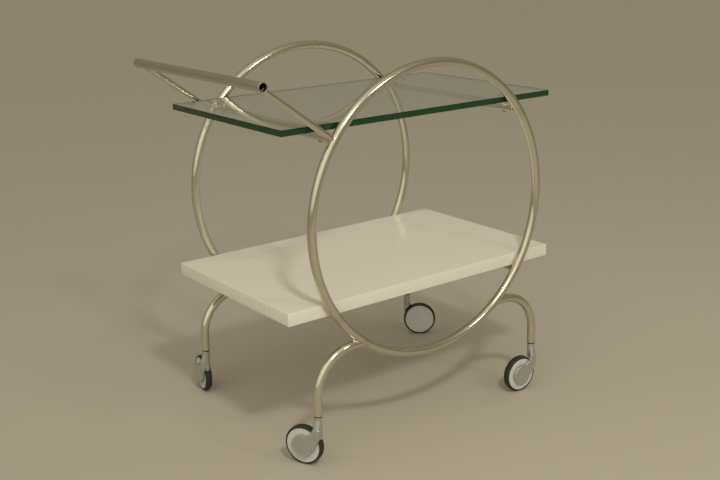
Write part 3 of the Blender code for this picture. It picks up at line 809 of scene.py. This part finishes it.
class Paint:
    """A Principled material whose colour, roughness and bump can vary by noise or an attribute."""

    def __init__(self, name, colour, roughness, **sockets):
        self.material = bpy.data.materials.new(name)
        self.material.use_nodes = True
        self.tree = self.material.node_tree
        self.shader = self.tree.nodes["Principled BSDF"]
        self.shader.inputs["Base Color"].default_value = (*colour, 1)
        self.shader.inputs["Roughness"].default_value = roughness
        for socket, value in sockets.items():
            self.shader.inputs[socket.replace("_", " ").title()].default_value = value
        self.bump = None

    def node(self, kind, **settings):
        node = self.tree.nodes.new(kind)
        for name, value in settings.items():
            setattr(node, name, value)
        return node

    def link(self, source, target):
        self.tree.links.new(source, target)

    def attribute(self, name, output="Fac"):
        return self.node("ShaderNodeAttribute", attribute_name=name).outputs[output]

    def noise(self, scale, detail=4.0, stretch=(1, 1, 1), source=None, rough=0.55):
        """A noise value over the piece's own coordinates, or over a vector attribute."""
        if source:
            vector = self.attribute(source, "Vector")
        else:
            vector = self.node("ShaderNodeTexCoord").outputs["Object"]
        mapping = self.node("ShaderNodeMapping")
        mapping.inputs["Scale"].default_value = stretch
        self.link(vector, mapping.inputs["Vector"])
        noise = self.node("ShaderNodeTexNoise")
        noise.inputs["Scale"].default_value = scale
        noise.inputs["Detail"].default_value = detail
        noise.inputs["Roughness"].default_value = rough
        self.link(mapping.outputs["Vector"], noise.inputs["Vector"])
        return noise.outputs["Fac"]

    def ranged(self, value, low, high, start=0.3, stop=0.7):
        """Map a value from one range to another."""
        node = self.node("ShaderNodeMapRange", clamp=True)
        self.link(value, node.inputs["Value"])
        limits = {"From Min": start, "From Max": stop, "To Min": low, "To Max": high}
        for socket, number in limits.items():
            node.inputs[socket].default_value = number
        return node.outputs["Result"]

    def sum(self, first, second):
        node = self.node("ShaderNodeMath", operation="ADD", use_clamp=True)
        self.link(first, node.inputs[0])
        self.link(second, node.inputs[1])
        return node.outputs["Value"]

    def tint(self, value, colour):
        """Blend the colour so far towards another by a value."""
        mix = self.node("ShaderNodeMix", data_type="RGBA")
        base = self.shader.inputs["Base Color"]
        mix.inputs["A"].default_value = tuple(base.default_value)
        if base.is_linked:
            self.link(base.links[0].from_socket, mix.inputs["A"])
        mix.inputs["B"].default_value = (*colour, 1)
        self.link(value, mix.inputs["Factor"])
        self.link(mix.outputs["Result"], base)
        return self

    def rough(self, value):
        self.link(value, self.shader.inputs["Roughness"])
        return self

    def raise_by(self, value, distance, strength=1.0):
        """Add a bump of that height on top of the ones before it."""
        bump = self.node("ShaderNodeBump")
        bump.inputs["Distance"].default_value = distance
        bump.inputs["Strength"].default_value = strength
        self.link(value, bump.inputs["Height"])
        if self.bump is not None:
            self.link(self.bump, bump.inputs["Normal"])
        self.bump = bump.outputs["Normal"]
        self.link(self.bump, self.shader.inputs["Normal"])
        return self


def nickel_paint():
    """Polished nickel: its gloss runs in streaks along the tube, and it is browner at the welds."""
    paint = Paint("polished_nickel", (0.66, 0.63, 0.51), 0.13, metallic=1.0)
    haze = paint.attribute("haze")
    paint.tint(paint.ranged(paint.noise(14), 0.0, 0.5), (0.61, 0.575, 0.45))
    paint.tint(paint.ranged(haze, 0.0, 0.45, 0.1, 1.0), (0.50, 0.45, 0.35))
    blotch = paint.ranged(paint.noise(120, 4, (1, 1, 0.05), "drawn"), 0.10, 0.15)
    paint.rough(paint.sum(blotch, paint.ranged(haze, 0.0, 0.10, 0.1, 1.0)))
    return paint.material


def satin_paint():
    """Satin nickel, a little uneven in its gloss."""
    paint = Paint("satin_nickel", (0.60, 0.57, 0.46), 0.27, metallic=1.0)
    paint.tint(paint.ranged(paint.noise(20, 5), 0.0, 0.5), (0.54, 0.50, 0.41))
    paint.rough(paint.ranged(paint.noise(45, 6), 0.22, 0.31))
    return paint.material


def glass_paint():
    """Clear float glass that goes green along a long way through it, with faint wiping marks."""
    paint = Paint("float_glass", (0.995, 1.0, 0.985), 0.0, transmission_weight=1.0)
    paint.shader.inputs["IOR"].default_value = 1.51
    paint.rough(paint.ranged(paint.noise(7, 6, (1, 3, 1)), 0.0, 0.02, 0.5, 0.75))
    absorb = paint.node("ShaderNodeVolumeAbsorption")
    absorb.inputs["Color"].default_value = (0.0, 0.38, 0.12, 1)
    absorb.inputs["Density"].default_value = 2.5
    paint.link(absorb.outputs["Volume"], paint.tree.nodes["Material Output"].inputs["Volume"])
    return paint.material


def glass_edge_paint():
    """The glass plate's ground edge, where its green gathers."""
    paint = Paint("green_glass_edge", (0.004, 0.050, 0.016), 0.22)
    paint.tint(paint.ranged(paint.noise(40, 4, (1, 1, 0.2)), 0.0, 0.6), (0.003, 0.036, 0.012))
    paint.rough(paint.ranged(paint.noise(300, 4), 0.18, 0.28))
    return paint.material


def laminate_paint():
    """Cream satin laminate, with the faintest wiping marks in its gloss."""
    paint = Paint("cream_laminate", (0.78, 0.755, 0.665), 0.28)
    paint.rough(paint.ranged(paint.noise(4, 2, (1, 2, 1)), 0.26, 0.29))
    return paint.material


def chrome_paint():
    """Bright chrome of the small pads."""
    paint = Paint("pad_chrome", (0.74, 0.72, 0.66), 0.1, metallic=1.0)
    paint.rough(paint.ranged(paint.noise(160, 5), 0.07, 0.16))
    paint.tint(paint.ranged(paint.noise(90, 5), 0.0, 0.4), (0.60, 0.57, 0.49))
    return paint.material


def steel_paint(name, colour, low, high):
    """Plain steel of screws and pins."""
    paint = Paint(name, colour, low, metallic=1.0)
    paint.rough(paint.ranged(paint.noise(350, 5), low, high))
    darker = tuple(0.75 * value for value in colour)
    paint.tint(paint.ranged(paint.noise(240, 6), 0.0, 0.7), darker)
    return paint.material


def casting_paint():
    """Silver-grey satin lacquer on a die casting, a little uneven in tone and gloss."""
    paint = Paint("fork_casting", (0.47, 0.465, 0.44), 0.26, metallic=0.6)
    paint.tint(paint.ranged(paint.noise(60, 6), 0.0, 0.4), (0.41, 0.405, 0.375))
    paint.rough(paint.ranged(paint.noise(120, 5), 0.22, 0.31))
    return paint.material


def socket_paint():
    """Black moulded plastic with a fine grain."""
    paint = Paint("black_socket", (0.016, 0.015, 0.013), 0.45)
    paint.rough(paint.ranged(paint.noise(300, 5), 0.38, 0.56))
    paint.raise_by(paint.noise(2400, 3), 0.00004, 0.3)
    return paint.material


def hub_paint():
    """Pale grey moulded plastic, a little soiled."""
    paint = Paint("pale_hub", (0.60, 0.61, 0.595), 0.38)
    paint.tint(paint.ranged(paint.noise(90, 7, rough=0.65), 0.0, 0.4, 0.45, 0.8), (0.47, 0.465, 0.43))
    paint.rough(paint.ranged(paint.noise(140, 5), 0.32, 0.48))
    return paint.material


def rubber_paint():
    """Matt black rubber, greyed by dust in patches."""
    paint = Paint("black_rubber", (0.020, 0.019, 0.016), 0.7)
    paint.tint(paint.ranged(paint.noise(110, 8, rough=0.7), 0.0, 0.35, 0.5, 0.8), (0.085, 0.080, 0.066))
    paint.rough(paint.ranged(paint.noise(180, 5), 0.58, 0.82))
    paint.raise_by(paint.noise(1500, 5), 0.00008, 0.4)
    return paint.material


# ---------------------------------------------------------------- stage

CAMERA_OFFSET = Vector((-1.346, -1.749, 0.546))
CAMERA_YAW = 37.20
CAMERA_PITCH = 16.54
CAMERA_ROLL = -1.076
CAMERA_LENS = 53.33
FLOOR_HALF = 60.0
ROOM_COLOUR = (1.0, 0.90, 0.68)
GLOW_COLOUR = (1.0, 0.95, 0.82)
ROOM_STRENGTH = 0.23
ROOM_RISE = 0.09
GLOW_DIRECTION = Vector((-0.71, -0.50, 0.50))
GLOW_STRENGTH = 0.80
GLOW_FOCUS = 2.0
LAMP_DISTANCE = 3.0
LAMP_COLOUR = (1.0, 0.96, 0.86)
LAMPS = (("key", (-0.40, -1.05, 1.0), 0.30, 28), ("second", (0.25, -0.85, 0.48), 0.35, 7))


def centre_of_hoops():
    return Vector((middle("hoop_right") + middle("hoop_left")) / 2)


def add_camera():
    data = bpy.data.cameras.new("camera")
    data.lens = CAMERA_LENS
    data.clip_end = 4 * FLOOR_HALF
    camera = bpy.data.objects.new("camera", data)
    bpy.context.scene.collection.objects.link(camera)
    turn = Matrix.Rotation(math.radians(-CAMERA_YAW), 4, "Z")
    tilt = Matrix.Rotation(math.radians(90 - CAMERA_PITCH), 4, "X")
    lean = Matrix.Rotation(math.radians(CAMERA_ROLL), 4, "Z")
    camera.matrix_world = Matrix.Translation(centre_of_hoops() + CAMERA_OFFSET) @ turn @ tilt @ lean
    bpy.context.scene.camera = camera


def add_floor():
    mesh = bpy.data.meshes.new("floor")
    h = FLOOR_HALF
    mesh.from_pydata([(-h, -h, 0), (h, -h, 0), (h, h, 0), (-h, h, 0)], [], [(0, 1, 2, 3)])
    floor = bpy.data.objects.new("floor", mesh)
    bpy.context.scene.collection.objects.link(floor)
    paint = Paint("pale_floor", (0.50, 0.465, 0.395), 0.6)
    paint.rough(paint.ranged(paint.noise(3, 3), 0.55, 0.65))
    mesh.materials.append(paint.material)


def add_lights():
    """A soft room: a broad glow from the left, a small key lamp, and a dimmer one lower on its right."""
    world = bpy.data.worlds.new("studio")
    bpy.context.scene.world = world
    world.use_nodes = True
    tree = world.node_tree

    def maths(operation, first, second):
        node = tree.nodes.new("ShaderNodeMath")
        node.operation = operation
        for socket, value in zip(node.inputs, (first, second)):
            if isinstance(value, float):
                socket.default_value = value
            else:
                tree.links.new(value, socket)
        return node.outputs["Value"]

    direction = tree.nodes.new("ShaderNodeTexCoord").outputs["Generated"]
    parts = tree.nodes.new("ShaderNodeSeparateXYZ")
    tree.links.new(direction, parts.inputs["Vector"])
    facing = tree.nodes.new("ShaderNodeVectorMath")
    facing.operation = "DOT_PRODUCT"
    tree.links.new(direction, facing.inputs[0])
    facing.inputs[1].default_value = GLOW_DIRECTION.normalized()
    focus = maths("POWER", maths("MAXIMUM", facing.outputs["Value"], 0.0), GLOW_FOCUS)
    rise = maths("MULTIPLY", maths("MAXIMUM", parts.outputs["Z"], 0.0), ROOM_RISE)
    both = tree.nodes.new("ShaderNodeAddShader")
    room = tree.nodes["Background"]
    glow = tree.nodes.new("ShaderNodeBackground")
    room.inputs["Color"].default_value = (*ROOM_COLOUR, 1)
    glow.inputs["Color"].default_value = (*GLOW_COLOUR, 1)
    tree.links.new(maths("ADD", rise, ROOM_STRENGTH), room.inputs["Strength"])
    tree.links.new(maths("MULTIPLY", focus, GLOW_STRENGTH), glow.inputs["Strength"])
    tree.links.new(room.outputs["Background"], both.inputs[0])
    tree.links.new(glow.outputs["Background"], both.inputs[1])
    tree.links.new(both.outputs["Shader"], tree.nodes["World Output"].inputs["Surface"])
    for name, aim, size, energy in LAMPS:
        data = bpy.data.lights.new(name, "AREA")
        data.shape = "DISK"
        data.size = size
        data.energy = energy
        data.color = LAMP_COLOUR
        lamp = bpy.data.objects.new(name, data)
        bpy.context.scene.collection.objects.link(lamp)
        aim = Vector(aim).normalized()
        lamp.matrix_world = (Matrix.Translation(centre_of_hoops() + LAMP_DISTANCE * aim)
                             @ aim.to_track_quat("Z", "Y").to_matrix().to_4x4())
        lamp.visible_camera = False


bpy.context.scene.view_settings.view_transform = "Standard"
add_camera()
add_floor()
add_lights()
build_tubes(nickel_paint(), satin_paint())
zinc_steel = steel_paint("zinc_screw", (0.52, 0.50, 0.44), 0.25, 0.4)
build_glass(glass_paint(), glass_edge_paint(), chrome_paint(), zinc_steel)
build_board(laminate_paint(), zinc_steel)
build_casters({
    "fork": casting_paint(),
    "hub": hub_paint(),
    "tyre": rubber_paint(),
    "socket": socket_paint(),
    "pin": steel_paint("bright_pin", (0.60, 0.59, 0.55), 0.2, 0.32),
})
